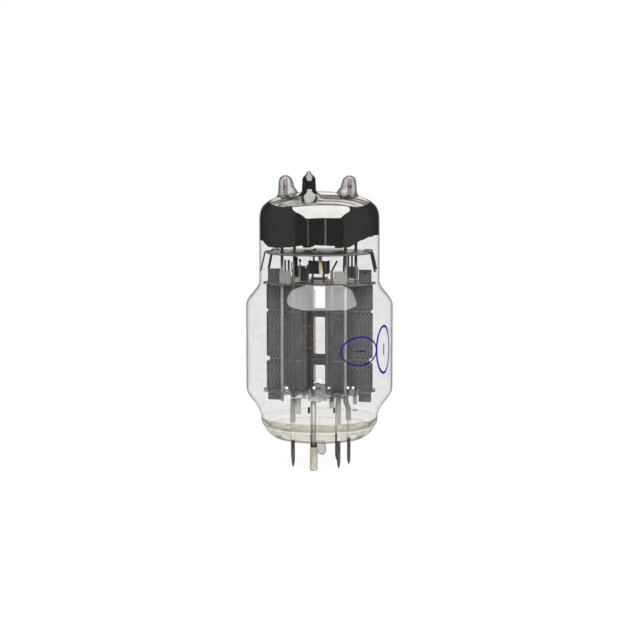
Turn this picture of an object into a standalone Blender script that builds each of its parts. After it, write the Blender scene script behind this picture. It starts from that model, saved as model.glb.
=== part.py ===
import math

import bpy
from mathutils import Vector
from mathutils.geometry import delaunay_2d_cdt

# Driving dimensions, in millimetres; +Z is up, the pins stand on z = 0 and the thick pin faces -Y.
MM = 0.001
# Heights below are measured from a plane this far above the thick pin's tip, which is the frame's zero.
LIFT = 1.2

# Glass envelope
WALL = 1.1
BASE_UNDERSIDE = 11.0
BASE_TOP = 17.0
SEAL_HEIGHT = 19.5
BULB_RADIUS = 31.45
NECK_RADIUS = 25.7
CROWN_HEIGHT = 117.1
LUG_X = {"left": -14.8, "right": 13.0}
LUG_TOP = 124.3
LUG_RADIUS = 3.05
TIP_CENTRE = (-1.5, -15.2)
TIP_TOP = 126.5
TIP_RADIUS = 2.65

# Pins
PIN_CIRCLE_RADIUS = 12.7
PIN_COUNT = 7
THIN_PIN_RADIUS = 0.76
THICK_PIN_RADIUS = 1.65
THICK_LEAD_RADIUS = 1.0
PIN_CLEARANCE = 0.12

# Cage
LOWER_MICA_Z = 31.5
UPPER_MICA_Z = 77.8
MICA_THICKNESS = 0.6
ANODE_BOTTOM = 32.5
ANODE_TOP = 77.4
ANODE_HALF_WIDTH = 23.1
ANODE_SHEET = 0.4
EAR_INNER = 17.2
EAR_OUTER = 22.5
EAR_TOP = 83.9
EAR_BOTTOM = 27.1
NOTCH_X = 14.9
SLOT_HALF_WIDTH = 2.8
BOX_DEPTH = 8.6
BOX_CENTRE = 8.4
SUPPORT_X = 13.6
SUPPORT_Y = 12.8
SUPPORT_RADIUS = 0.65
TIE_X = 8.2
TIE_Y = 15.0
TIE_RADIUS = 0.6
GRID_POST_X = (3.25, 12.4)
GRID_POST_RADIUS = 0.42
GRID_TURNS = 13

# Heat shield above the cage
SHIELD_Z = 91.0
SHIELD_RADIUS = 22.8
SHIELD_THICKNESS = 0.4
SPRING_TURNS = {"front_left": 18.0, "rear_left": 18.0, "front_right": 10.0, "rear_right": 24.0}


def clear_scene():
    for item in list(bpy.data.objects):
        bpy.data.objects.remove(item, do_unlink=True)


def make_material(name, colour, roughness, metallic=0.0, alpha=1.0):
    material = bpy.data.materials.new(name)
    material.use_nodes = True
    shader = material.node_tree.nodes["Principled BSDF"]
    shader.inputs["Base Color"].default_value = (*colour, 1.0)
    shader.inputs["Roughness"].default_value = roughness
    shader.inputs["Metallic"].default_value = metallic
    shader.inputs["Alpha"].default_value = alpha
    return material


def add_object(name, points, faces, material, smooth=False):
    """Mesh object from points in millimetres and faces that wind outwards."""
    mesh = bpy.data.meshes.new(name)
    mesh.from_pydata([(x * MM, y * MM, (z + LIFT) * MM) for x, y, z in points], [], faces)
    mesh.validate()
    if material is not None:
        mesh.materials.append(material)
    if smooth:
        mesh.shade_smooth()
        mesh.set_sharp_from_angle(angle=math.radians(35))
    item = bpy.data.objects.new(name, mesh)
    bpy.context.scene.collection.objects.link(item)
    return item


def hide_cutter(item):
    item.hide_render = True
    item.display_type = "WIRE"
    return item


def add_boolean(item, other, operation):
    modifier = item.modifiers.new(operation.lower() + "_" + other.name, "BOOLEAN")
    modifier.operation = operation
    modifier.solver = "EXACT"
    modifier.object = other


def revolve_mesh(profile, sides, centre=(0.0, 0.0), phase=0.0):
    """Closed solid turned from (radius, z) points; the profile runs up the outside of the solid.

    A height may also be a function of the angle, for an uneven rim.
    """
    points = []
    rings = []
    for radius, z in profile:
        if radius < 1e-9:
            rings.append([len(points)])
            points.append((centre[0], centre[1], z))
            continue
        ring = []
        for k in range(sides):
            angle = phase + 2.0 * math.pi * k / sides
            ring.append(len(points))
            points.append((centre[0] + radius * math.cos(angle),
                           centre[1] + radius * math.sin(angle), z(angle) if callable(z) else z))
        rings.append(ring)
    faces = []
    for i, low in enumerate(rings):
        high = rings[(i + 1) % len(rings)]
        if len(low) == 1 and len(high) == 1:
            continue
        for k in range(sides):
            m = (k + 1) % sides
            if len(low) == 1:
                faces.append((low[0], high[m], high[k]))
            elif len(high) == 1:
                faces.append((low[k], low[m], high[0]))
            else:
                faces.append((low[k], low[m], high[m], high[k]))
    return points, faces


def revolve(name, profile, sides, material, centre=(0.0, 0.0), phase=0.0):
    points, faces = revolve_mesh(profile, sides, centre, phase)
    return add_object(name, points, faces, material, smooth=True)


def offset_profile(profile, distance):
    """Profile moved to its left by a distance, with mitred corners."""
    result = []
    for i, (radius, z) in enumerate(profile):
        here = Vector((radius, z))
        directions = []
        if i > 0:
            directions.append((here - Vector(profile[i - 1])).normalized())
        if i < len(profile) - 1:
            directions.append((Vector(profile[i + 1]) - here).normalized())
        normals = [Vector((-d.y, d.x)) for d in directions]
        mitre = sum(normals, Vector((0.0, 0.0))).normalized()
        moved = here + mitre * (distance / max(0.5, mitre.dot(normals[0])))
        result.append((max(0.0, moved.x), moved.y))
    return result


def height_on(profile, radius):
    """Height of the profile where it crosses a radius, searched from its last point back."""
    for (r0, z0), (r1, z1) in zip(profile[-2::-1], profile[::-1]):
        low, high = sorted((r0, r1))
        if low <= radius <= high and high > low:
            return z0 + (z1 - z0) * (radius - r0) / (r1 - r0)
    return profile[-1][1]


def circle(radius, sides, phase=0.0):
    return [(radius * math.cos(phase + 2.0 * math.pi * k / sides),
             radius * math.sin(phase + 2.0 * math.pi * k / sides)) for k in range(sides)]


def sweep_mesh(path, sections, start_side):
    """Solid swept along a path; each section is a list of (side, up) offsets, one per path point."""
    line = [Vector(p) for p in path]
    side = Vector(start_side)
    rings = []
    points = []
    tangent_before = None
    for i, here in enumerate(line):
        before = (here - line[i - 1]).normalized() if i else (line[1] - here).normalized()
        after = (line[i + 1] - here).normalized() if i < len(line) - 1 else before
        tangent = (before + after).normalized()
        if tangent_before is not None:
            side = tangent_before.rotation_difference(tangent) @ side
        side = (side - tangent * side.dot(tangent)).normalized()
        up = tangent.cross(side)
        bend = before.cross(after)
        stretch = 1.0 / max(0.5, tangent.dot(before))
        in_plane = tangent.cross(bend).normalized() if bend.length > 1e-6 else None
        ring = []
        for a, b in sections[i]:
            offset = side * a + up * b
            if in_plane is not None:
                offset += in_plane * (offset.dot(in_plane) * (stretch - 1.0))
            ring.append(len(points))
            points.append(tuple(here + offset))
        rings.append(ring)
        tangent_before = tangent
    faces = []
    sides = len(sections[0])
    for low, high in zip(rings, rings[1:]):
        for k in range(sides):
            m = (k + 1) % sides
            faces.append((low[k], low[m], high[m], high[k]))
    faces.append(tuple(reversed(rings[0])))
    faces.append(tuple(rings[-1]))
    return points, faces


def rod(name, path, radius, material, sides=8):
    first = (Vector(path[1]) - Vector(path[0])).normalized()
    helper = Vector((1.0, 0.0, 0.0)) if abs(first.x) < 0.9 else Vector((0.0, 1.0, 0.0))
    sections = [circle(radius, sides, math.pi / sides)] * len(path)
    points, faces = sweep_mesh(path, sections, first.cross(helper).normalized())
    return add_object(name, points, faces, material, smooth=True)


def strip(name, path, width, thickness, side, material):
    """Flat metal strip; its width lies along the side direction."""
    section = [(-width / 2, -thickness / 2), (width / 2, -thickness / 2),
               (width / 2, thickness / 2), (-width / 2, thickness / 2)]
    points, faces = sweep_mesh(path, [section] * len(path), side)
    return add_object(name, points, faces, material)


def inside(point, polygon):
    result = False
    x, y = point
    for (x0, y0), (x1, y1) in zip(polygon, polygon[1:] + polygon[:1]):
        if (y0 > y) != (y1 > y) and x < x0 + (y - y0) * (x1 - x0) / (y1 - y0):
            result = not result
    return result


def triangulate(outline, holes, lines=()):
    """Triangles that fill an outline less its holes and keep the given lines as edges."""
    points = []
    edges = []
    for loop in [outline] + list(holes):
        first = len(points)
        points.extend(Vector(p) for p in loop)
        edges.extend((first + k, first + (k + 1) % len(loop)) for k in range(len(loop)))
    for start, end in lines:
        edges.append((len(points), len(points) + 1))
        points.extend((Vector(start), Vector(end)))
    found, _, faces, *_ = delaunay_2d_cdt(points, edges, [], 0, 1e-5)
    kept = []
    for face in faces:
        centre = sum((found[k] for k in face), Vector((0.0, 0.0))) / len(face)
        if inside(centre, outline) and not any(inside(centre, hole) for hole in holes):
            a, b, c = (found[k] for k in face)
            turn = (b.x - a.x) * (c.y - a.y) - (b.y - a.y) * (c.x - a.x)
            kept.append(tuple(face) if turn > 0 else tuple(reversed(face)))
    used = sorted({k for face in kept for k in face})
    order = {k: i for i, k in enumerate(used)}
    return [tuple(found[k]) for k in used], [tuple(order[k] for k in face) for face in kept]


def thicken(flat, faces, place):
    """Closed solid from a flat triangulation; place(point, layer) gives the 3-D point of layer 0 or 1."""
    count = len(flat)
    points = [place(p, 0) for p in flat] + [place(p, 1) for p in flat]
    solid = [tuple(reversed(face)) for face in faces]
    solid += [tuple(k + count for k in face) for face in faces]
    edges = {}
    for face in faces:
        for a, b in zip(face, face[1:] + face[:1]):
            edges[(a, b)] = True
    for a, b in edges:
        if (b, a) not in edges:
            solid.append((a, b, b + count, a + count))
    return points, solid


def plate(name, outline, holes, low, high, material):
    flat, faces = triangulate(outline, holes)
    points, solid = thicken(flat, faces, lambda p, layer: (p[0], p[1], high if layer else low))
    return add_object(name, points, solid, material)


def sheet_plate(name, outline, low, high, material):
    """Flat plate that stands upright: the outline lies in (x, z), its thickness runs along Y."""
    flat, faces = triangulate(outline, [])
    points, solid = thicken(flat, faces, lambda p, layer: (p[0], low if layer else high, p[1]))
    return add_object(name, points, solid, material)


def folded_sheet(name, section, outline, holes, thickness, material):
    """Sheet metal pressing: the outline lies in (distance along the section, z) and folds with it."""
    run = [0.0]
    for a, b in zip(section, section[1:]):
        run.append(run[-1] + (Vector(b) - Vector(a)).length)
    middle = run[-1] / 2.0
    run = [s - middle for s in run]
    z_values = [z for _, z in outline]
    lines = [((s, min(z_values) - 1.0), (s, max(z_values) + 1.0)) for s in run[1:-1]]
    flat, faces = triangulate(outline, holes, lines)

    def place(point, layer):
        s, z = point
        k = 0
        while k < len(run) - 2 and s > run[k + 1] + 1e-4:
            k += 1
        a, b = Vector(section[k]), Vector(section[k + 1])
        direction = (b - a).normalized()
        normal = Vector((direction.y, -direction.x))
        reach = thickness / 2
        if k < len(run) - 2 and abs(s - run[k + 1]) < 1e-4:
            after = (Vector(section[k + 2]) - b).normalized()
            mitre = (normal + Vector((after.y, -after.x))).normalized()
            reach /= mitre.dot(normal)
            normal = mitre
        spot = a + direction * (s - run[k]) + normal * (reach if layer else -reach)
        return spot.x, spot.y, z

    points, solid = thicken(flat, faces, place)
    return add_object(name, points, solid, material)


def rectangle(x0, x1, y0, y1, cut=0.0):
    if cut <= 0.0:
        return [(x0, y0), (x1, y0), (x1, y1), (x0, y1)]
    return [(x0 + cut, y0), (x1 - cut, y0), (x1, y0 + cut), (x1, y1 - cut),
            (x1 - cut, y1), (x0 + cut, y1), (x0, y1 - cut), (x0, y0 + cut)]


def ring_hole(x, y, radius, sides=10):
    return [(x + a, y + b) for a, b in circle(radius, sides)]


def pin_angle(k):
    return -math.pi / 2 + 2.0 * math.pi * k / PIN_COUNT


def pin_place(k):
    return (PIN_CIRCLE_RADIUS * math.cos(pin_angle(k)),
            PIN_CIRCLE_RADIUS * math.sin(pin_angle(k)))


# Outside of the bulb from the seal up to the crown
BULB_PROFILE = [
    (25.05, SEAL_HEIGHT), (25.2, 21.6), (25.8, 23.2), (26.6, 24.9), (27.6, 26.4), (29.0, 28.2),
    (30.4, 30.1), (31.2, 31.6), (BULB_RADIUS, 33.2), (BULB_RADIUS, 68.8), (31.1, 70.3),
    (29.9, 71.5), (28.1, 73.2), (26.8, 75.0), (26.0, 77.0), (NECK_RADIUS, 79.2),
    (NECK_RADIUS, 105.5), (25.4, 108.6), (24.6, 110.4), (23.2, 112.1), (20.6, 113.8),
    (17.2, 115.1), (12.4, 116.2), (6.4, 116.9), (0.0, CROWN_HEIGHT),
]


def bell_mesh(centre, rings, sides):
    """Glass bell on the dome; rings are (radius, height above the dome or None, z or None)."""
    points = []
    loops = []
    for radius, above, z in rings:
        if radius < 1e-9:
            loops.append([len(points)])
            points.append((centre[0], centre[1], z))
            continue
        loop = []
        for k in range(sides):
            angle = 2.0 * math.pi * k / sides
            x = centre[0] + radius * math.cos(angle)
            y = centre[1] + radius * math.sin(angle)
            height = z if above is None else height_on(BULB_PROFILE, math.hypot(x, y)) + above
            loop.append(len(points))
            points.append((x, y, height))
        loops.append(loop)
    faces = [tuple(reversed(loops[0]))]
    for low, high in zip(loops, loops[1:]):
        for k in range(sides):
            m = (k + 1) % sides
            if len(high) == 1:
                faces.append((low[k], low[m], high[0]))
            else:
                faces.append((low[k], low[m], high[m], high[k]))
    return points, faces


def make_envelope(glass):
    inner = offset_profile(BULB_PROFILE, WALL)
    inner[0] = (inner[0][0], SEAL_HEIGHT)
    shell = BULB_PROFILE + [(r, z) for r, z in reversed(inner)]
    bulb = revolve("glass_bulb", shell, 40, glass)
    for word in ("left", "right"):
        rings = [(4.6, -0.5, None), (4.6, 0.02, None), (3.7, 0.6, None), (LUG_RADIUS, None, 118.0),
                 (LUG_RADIUS, None, 121.4), (2.6, None, 123.0), (1.5, None, 124.0),
                 (0.0, None, LUG_TOP)]
        points, faces = bell_mesh((LUG_X[word], 0.0), rings, 14)
        lug = hide_cutter(add_object("lug_form_" + word, points, faces, None))
        add_boolean(bulb, lug, "UNION")
    rings = [(4.8, -0.5, None), (4.8, 0.02, None), (3.6, 0.8, None), (2.9, None, 118.2),
             (TIP_RADIUS, None, 119.6), (TIP_RADIUS, None, 122.0), (2.2, None, 123.8),
             (1.1, None, 125.2), (0.0, None, TIP_TOP)]
    points, faces = bell_mesh(TIP_CENTRE, rings, 14)
    add_boolean(bulb, hide_cutter(add_object("tip_form", points, faces, None)), "UNION")
    for word in ("left", "right"):
        bore = [(0.0, 110.0), (1.15, 110.0), (1.15, 122.9), (0.0, 123.2)]
        points, faces = revolve_mesh(bore, 10, (LUG_X[word], 0.0))
        cutter = hide_cutter(add_object("lug_bore_" + word, points, faces, None))
        add_boolean(bulb, cutter, "DIFFERENCE")
    bore = [(0.0, 110.0), (1.9, 110.0), (1.9, 121.4), (1.2, 123.0), (0.0, 123.8)]
    points, faces = revolve_mesh(bore, 10, TIP_CENTRE)
    add_boolean(bulb, hide_cutter(add_object("tip_bore", points, faces, None)), "DIFFERENCE")

    base_profile = [
        (0.0, 3.3), (1.0, 3.6), (1.9, 4.5), (2.5, 6.1), (2.7, 8.1), (3.1, 9.8),
        (4.4, BASE_UNDERSIDE), (17.0, BASE_UNDERSIDE), (19.2, 11.65), (21.0, 12.8), (22.5, 14.3),
        (23.7, 16.0), (24.6, 17.7),
        (25.05, SEAL_HEIGHT - 0.1), (23.95, SEAL_HEIGHT - 0.1), (23.2, 18.3), (21.8, 17.45),
        (20.0, BASE_TOP), (0.0, BASE_TOP),
    ]
    base = revolve("glass_base", base_profile, 40, glass)
    points, faces = [], []
    for k in range(PIN_COUNT):
        radius = (THICK_LEAD_RADIUS if k == 0 else THIN_PIN_RADIUS) + PIN_CLEARANCE
        bore = [(0.0, 9.0), (radius, 9.0), (radius, 19.0), (0.0, 19.0)]
        more, sides = revolve_mesh(bore, 10, pin_place(k), pin_angle(k))
        faces.extend(tuple(i + len(points) for i in face) for face in sides)
        points.extend(more)
    cutter = hide_cutter(add_object("pin_bores", points, faces, None))
    add_boolean(base, cutter, "DIFFERENCE")


def make_pins(nickel, dark_pin):
    profile = [(0.0, -LIFT), (1.3, -LIFT), (THICK_PIN_RADIUS, -0.8), (THICK_PIN_RADIUS, 9.0),
               (1.4, 9.5), (THICK_LEAD_RADIUS, 9.7), (THICK_LEAD_RADIUS, 28.2), (0.0, 28.2)]
    revolve("thick_pin", profile, 10, nickel, pin_place(0), pin_angle(0))
    for k in range(1, PIN_COUNT):
        profile = [(0.0, -0.6), (0.32, -0.6), (0.66, 0.8), (THIN_PIN_RADIUS, 2.1),
                   (THIN_PIN_RADIUS, 21.5), (0.0, 21.8)]
        revolve("thin_pin_%d" % k, profile, 10, dark_pin, pin_place(k), pin_angle(k))


def film_edge(angle):
    """Lower edge of the getter film round the bulb."""
    return (95.0 + 1.7 * math.sin(angle + 1.57) ** 2 + 0.6 * math.sin(3.0 * angle + 0.4)
            + 0.35 * math.sin(7.0 * angle))


def make_film(mirror):
    outside = [p for p in offset_profile(BULB_PROFILE, WALL + 0.1) if p[1] > 104.0]
    inside_face = [p for p in offset_profile(BULB_PROFILE, WALL + 0.3) if p[1] > 104.0]
    profile = [(outside[0][0], film_edge)] + outside
    profile += inside_face[::-1] + [(inside_face[0][0], film_edge)]
    film = revolve("getter_film", profile, 40, mirror)
    points, faces = [], []
    for x, y, radius in ((LUG_X["left"], 0.0, 1.25), (LUG_X["right"], 0.0, 1.25), (*TIP_CENTRE, 1.85)):
        bore = [(0.0, 100.0), (radius, 100.0), (radius, 120.0), (0.0, 120.0)]
        more, sides = revolve_mesh(bore, 10, (x, y))
        faces.extend(tuple(i + len(points) for i in face) for face in sides)
        points.extend(more)
    add_boolean(film, hide_cutter(add_object("film_bores", points, faces, None)), "DIFFERENCE")
    tip = [(1.65, 116.4), (1.65, 121.2), (0.95, 122.6), (0.0, 123.2), (0.0, 122.8), (0.75, 122.3),
           (1.4, 121.1), (1.4, 116.4)]
    revolve("exhaust_tip_film", tip, 10, mirror, TIP_CENTRE)


def mica_holes():
    holes = []
    for sx in (-1, 1):
        for sy in (-1, 1):
            holes.append(ring_hole(sx * SUPPORT_X, sy * SUPPORT_Y, SUPPORT_RADIUS + 0.25))
            holes.append(ring_hole(sx * TIE_X, sy * TIE_Y, TIE_RADIUS + 0.25))
        holes.append(rectangle(*sorted((sx * (EAR_INNER - 0.3), sx * (EAR_OUTER + 0.3))), -0.95, 0.95))
        holes.append(rectangle(sx * BOX_CENTRE - 3.5, sx * BOX_CENTRE + 3.5, -1.75, 1.75, 0.6))
        for x in GRID_POST_X:
            holes.append(ring_hole(sx * x, 0.0, GRID_POST_RADIUS + 0.25))
    return holes


def make_micas(mica):
    quarter = [(24.3, 0.8), (23.4, 1.5), (23.4, 6.0), (17.2, 13.8), (13.6, 16.6)]
    outline = quarter + [(-x, y) for x, y in reversed(quarter)]
    outline += [(-x, -y) for x, y in quarter] + [(x, -y) for x, y in reversed(quarter)]
    for name, z in (("lower_mica", LOWER_MICA_Z), ("upper_mica", UPPER_MICA_Z)):
        plate(name, outline, mica_holes(), z, z + MICA_THICKNESS, mica)


def make_anode(black):
    half = [(3.7, -1.5), (4.4, -BOX_DEPTH + 1.0), (5.4, -BOX_DEPTH), (12.0, -BOX_DEPTH),
            (13.0, -BOX_DEPTH + 1.0), (13.9, -0.4), (ANODE_HALF_WIDTH, -0.4)]
    section = [(-x, y) for x, y in reversed(half)] + half
    length = sum((Vector(b) - Vector(a)).length for a, b in zip(section, section[1:])) / 2.0

    def along(x):
        return math.copysign(length - (ANODE_HALF_WIDTH - abs(x)), x)

    edge = [(along(ANODE_HALF_WIDTH), 43.9), (along(ANODE_HALF_WIDTH - 1.4), 44.4),
            (along(ANODE_HALF_WIDTH - 1.4), 45.8), (along(ANODE_HALF_WIDTH), 46.3),
            (along(ANODE_HALF_WIDTH), 65.2), (along(ANODE_HALF_WIDTH - 0.7), 65.5),
            (along(ANODE_HALF_WIDTH - 0.7), 66.5), (along(ANODE_HALF_WIDTH), 66.8)]
    right = [(along(NOTCH_X - 0.75), ANODE_BOTTOM), (along(NOTCH_X - 0.6), ANODE_BOTTOM + 0.9),
             (along(NOTCH_X + 0.6), ANODE_BOTTOM + 0.9), (along(NOTCH_X + 0.75), ANODE_BOTTOM),
             (along(EAR_INNER), ANODE_BOTTOM), (along(EAR_INNER), EAR_BOTTOM),
             (along(EAR_OUTER), EAR_BOTTOM), (along(EAR_OUTER), ANODE_BOTTOM),
             (along(ANODE_HALF_WIDTH), ANODE_BOTTOM)]
    right += edge
    right += [(along(ANODE_HALF_WIDTH), ANODE_TOP), (along(EAR_OUTER), ANODE_TOP),
              (along(EAR_OUTER), EAR_TOP), (along(EAR_INNER), EAR_TOP),
              (along(EAR_INNER), ANODE_TOP)]
    slot = SLOT_HALF_WIDTH
    right = [(slot - 0.5, 42.8), (slot, 42.3), (slot, ANODE_BOTTOM)] + right
    right += [(slot, ANODE_TOP), (slot, 67.4), (slot - 0.4, 67.0)]
    outline = right + [(-s, z) for s, z in reversed(right)]
    windows = [rectangle(-slot, slot, 47.2, 63.5, 0.7)]
    folded_sheet("anode_front_shell", section, outline, windows, ANODE_SHEET, black)
    rear = [(-x, -y) for x, y in section]
    folded_sheet("anode_rear_shell", rear, outline, windows, ANODE_SHEET, black)


def make_grids(copper, wire):
    half = [(2.6, 0.0), (2.9, 0.6), (3.6, 0.85), (5.0, 2.2), (8.4, 2.6), (11.5, 2.2), (12.6, 1.0),
            (13.15, 0.0)]
    loop = half + [(x, -y) for x, y in reversed(half[1:-1])]
    for sx, word in ((-1, "left"), (1, "right")):
        for x, place in zip(GRID_POST_X, ("inner", "outer")):
            path = [(sx * x, 0.0, 29.6), (sx * x, 0.0, 80.8)]
            rod("grid_post_%s_%s" % (word, place), path, GRID_POST_RADIUS, copper)
        path = []
        for i in range(GRID_TURNS * len(loop) + 1):
            x, y = loop[i % len(loop)]
            path.append((sx * x, y, 34.5 + 41.0 * i / (GRID_TURNS * len(loop))))
        rod("grid_winding_" + word, path, 0.16, wire, sides=4)


def make_cathodes(oxide, alumina):
    for sx, word in ((-1, "left"), (1, "right")):
        x = sx * BOX_CENTRE
        outer = rectangle(x - 3.25, x + 3.25, -1.5, 1.5, 0.5)
        inner = rectangle(x - 2.9, x + 2.9, -1.15, 1.15, 0.35)
        plate("cathode_sleeve_" + word, outer, [inner], 30.4, 80.2, oxide)
        path = [(x - 1.7, 0.0, 28.6), (x - 1.7, 0.0, 77.6), (x - 1.2, 0.0, 78.8), (x, 0.0, 79.3),
                (x + 1.2, 0.0, 78.8), (x + 1.7, 0.0, 77.6), (x + 1.7, 0.0, 28.6)]
        rod("heater_" + word, path, 0.75, alumina)


def make_posts(bright, grey, tab):
    for sx, word_x in ((-1, "left"), (1, "right")):
        for sy, word_y in ((-1, "front"), (1, "rear")):
            word = word_y + "_" + word_x
            path = [(sx * SUPPORT_X, sy * SUPPORT_Y, 28.4), (sx * SUPPORT_X, sy * SUPPORT_Y, 110.5)]
            rod("support_rod_" + word, path, SUPPORT_RADIUS, bright)
            path = [(sx * TIE_X, sy * TIE_Y, 28.9), (sx * TIE_X, sy * TIE_Y, 84.6)]
            rod("tie_post_" + word, path, TIE_RADIUS, grey)
            path = [(sx * 9.3, sy * (TIE_Y + 0.8), 81.45),
                    (sx * 14.4, sy * (SUPPORT_Y + 1.25), 81.45)]
            strip("tie_plate_" + word, path, 5.4, 0.35, (0.0, 0.0, 1.0), tab)


def make_shield(shield, spring):
    holes = []
    for sx in (-1, 1):
        for sy in (-1, 1):
            holes.append(ring_hole(sx * SUPPORT_X, sy * SUPPORT_Y, SUPPORT_RADIUS + 0.25))
        holes.append(ring_hole(sx * 7.5, -9.0, 1.0))
        holes.append(ring_hole(sx * 7.5, 9.0, 1.0))
    holes.append(ring_hole(0.0, 0.0, 1.1))
    plate("heat_shield_disc", circle(SHIELD_RADIUS, 40), holes, SHIELD_Z,
          SHIELD_Z + SHIELD_THICKNESS, shield)
    for sx, word_x in ((-1, "left"), (1, "right")):
        for sy, word_y in ((-1, "front"), (1, "rear")):
            angle = math.radians(SPRING_TURNS[word_y + "_" + word_x])
            direction = Vector((sx * math.cos(angle), sy * math.sin(angle), 0.0))
            side = Vector((-direction.y, direction.x, 0.0))
            path = [direction * 20.0 + Vector((0, 0, SHIELD_Z + 0.85)),
                    direction * 23.2 + Vector((0, 0, SHIELD_Z + 0.8)),
                    direction * 23.6 + Vector((0, 0, SHIELD_Z - 0.6)),
                    direction * 24.2 + Vector((0, 0, 83.6))]
            strip("bulb_spring_%s_%s" % (word_y, word_x), path, 1.3, 0.25, side, spring)


def make_top(moly, bright, getter_metal):
    for sx, word in ((-1, "left"), (1, "right")):
        path = [(LUG_X[word], 0.0, 109.6), (LUG_X[word], 0.0, 122.6)]
        rod("cap_rod_" + word, path, 0.95, moly, sides=10)
        path = [(sx * 12.0, -12.6, 108.6), (sx * 12.0, 12.6, 108.6)]
        strip("cap_strap_" + word, path, 1.6, 0.5, (0.0, 0.0, 1.0), bright)
        path = [(sx * 7.0, 6.2, 93.2), (sx * 7.0, 15.4, 93.2)]
        strip("getter_tray_" + word, path, 3.0, 1.2, (1.0, 0.0, 0.0), getter_metal)


def make_cage_top(black, ribbon, wire):
    section = [(-3.9, 2.4), (-4.2, -2.6), (4.2, -2.6), (3.9, 2.4)]
    length = sum((Vector(b) - Vector(a)).length for a, b in zip(section, section[1:])) / 2.0
    outline = rectangle(-length, length, 82.0, 87.6, 0.9)
    folded_sheet("grid_radiator", section, outline, [], 0.35, black)
    strip("getter_lead_strip", [(1.9, -5.6, 82.2), (1.4, -5.2, 86.4), (1.2, -4.8, 90.2)], 1.5, 0.3,
          (1.0, 0.0, 0.0), ribbon)
    strip("cathode_tab_left", [(-6.1, -3.2, 79.0), (-6.1, -3.2, 84.4)], 3.2, 0.35, (1.0, 0.0, 0.0), black)
    rod("heater_link_wire", [(5.2, 0.6, 82.8), (6.0, 0.4, 84.4), (7.7, 0.2, 87.5)], 0.4, wire)


def make_leads(bright, grey):
    flag = [(-2.0, 28.9), (0.6, 28.9), (0.9, 28.4), (3.4, 28.4), (4.0, 29.2), (6.2, 29.2),
            (6.2, 31.1), (-2.0, 31.1)]
    sheet_plate("heater_bus_plate", flag, -14.9, -14.5, bright)
    for k, side, lean, width in ((1, -1, 0.0, 2.3), (2, -1, -1.2, 2.2), (3, 1, 0.3, 1.6),
                                 (4, 1, 0.3, 1.6), (5, 1, 0.6, 1.6), (6, -1, 0.2, 2.3)):
        x, y = pin_place(k)
        path = [(x, y + side * 0.95, 18.6), (x, y + side * 0.95, 23.5),
                (x + lean, y + side * 0.95, 27.0), (x + lean, y + side * 0.95, 31.1)]
        strip("lead_ribbon_%d" % k, path, width, 0.3, (1.0, 0.0, 0.0), bright if k % 2 else grey)


def main():
    clear_scene()
    glass = make_material("clear_glass", (0.90, 0.92, 0.90), 0.04, 0.0, 0.35)
    nickel = make_material("nickel_plate", (0.72, 0.66, 0.56), 0.35, 1.0)
    dark_pin = make_material("dark_pin_metal", (0.16, 0.16, 0.16), 0.4, 1.0)
    mirror = make_material("getter_mirror", (0.10, 0.10, 0.095), 0.12, 1.0)
    mica = make_material("mica_sheet", (0.72, 0.71, 0.69), 0.4)
    black = make_material("blackened_plate", (0.10, 0.10, 0.105), 0.6, 0.3)
    copper = make_material("copper_post", (0.75, 0.42, 0.30), 0.35, 1.0)
    wire = make_material("grid_wire", (0.35, 0.34, 0.33), 0.4, 1.0)
    oxide = make_material("cathode_coating", (0.86, 0.85, 0.82), 0.8)
    alumina = make_material("white_ceramic", (0.93, 0.92, 0.90), 0.6)
    bright = make_material("bright_nickel", (0.72, 0.71, 0.70), 0.3, 1.0)
    grey = make_material("grey_nickel", (0.42, 0.42, 0.42), 0.45, 1.0)
    tab = make_material("tab_nickel", (0.58, 0.57, 0.54), 0.5, 1.0)
    ribbon = make_material("yellow_ribbon", (0.85, 0.74, 0.50), 0.4, 1.0)
    shield = make_material("shield_metal", (0.55, 0.58, 0.60), 0.35, 1.0)
    moly = make_material("molybdenum_rod", (0.55, 0.36, 0.33), 0.35, 1.0)

    make_envelope(glass)
    make_pins(nickel, dark_pin)
    make_film(mirror)
    make_micas(mica)
    make_anode(black)
    make_grids(copper, wire)
    make_cathodes(oxide, alumina)
    make_posts(bright, grey, tab)
    make_shield(shield, wire)
    make_top(moly, bright, grey)
    make_cage_top(black, ribbon, wire)
    make_leads(bright, grey)


main()
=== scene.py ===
"""Looks of the vacuum tube: thin glass, getter mirror, blackened anode, nickel wires, ink, studio."""

import math

import bpy
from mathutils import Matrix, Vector, noise
from mathutils.geometry import delaunay_2d_cdt


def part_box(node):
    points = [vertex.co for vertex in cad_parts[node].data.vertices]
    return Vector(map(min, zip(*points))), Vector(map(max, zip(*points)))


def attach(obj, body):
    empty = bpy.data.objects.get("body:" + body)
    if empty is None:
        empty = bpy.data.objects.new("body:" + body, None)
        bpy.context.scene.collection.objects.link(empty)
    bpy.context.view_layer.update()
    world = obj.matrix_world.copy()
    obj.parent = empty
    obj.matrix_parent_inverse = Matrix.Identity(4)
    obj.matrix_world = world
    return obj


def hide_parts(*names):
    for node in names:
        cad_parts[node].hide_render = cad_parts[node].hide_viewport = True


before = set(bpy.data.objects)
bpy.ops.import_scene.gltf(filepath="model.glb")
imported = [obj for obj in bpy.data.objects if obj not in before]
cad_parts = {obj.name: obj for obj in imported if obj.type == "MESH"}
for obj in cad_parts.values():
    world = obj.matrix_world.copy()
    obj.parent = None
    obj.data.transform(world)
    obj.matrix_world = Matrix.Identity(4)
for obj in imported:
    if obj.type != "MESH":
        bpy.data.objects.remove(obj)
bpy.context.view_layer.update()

MM = 0.001
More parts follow.
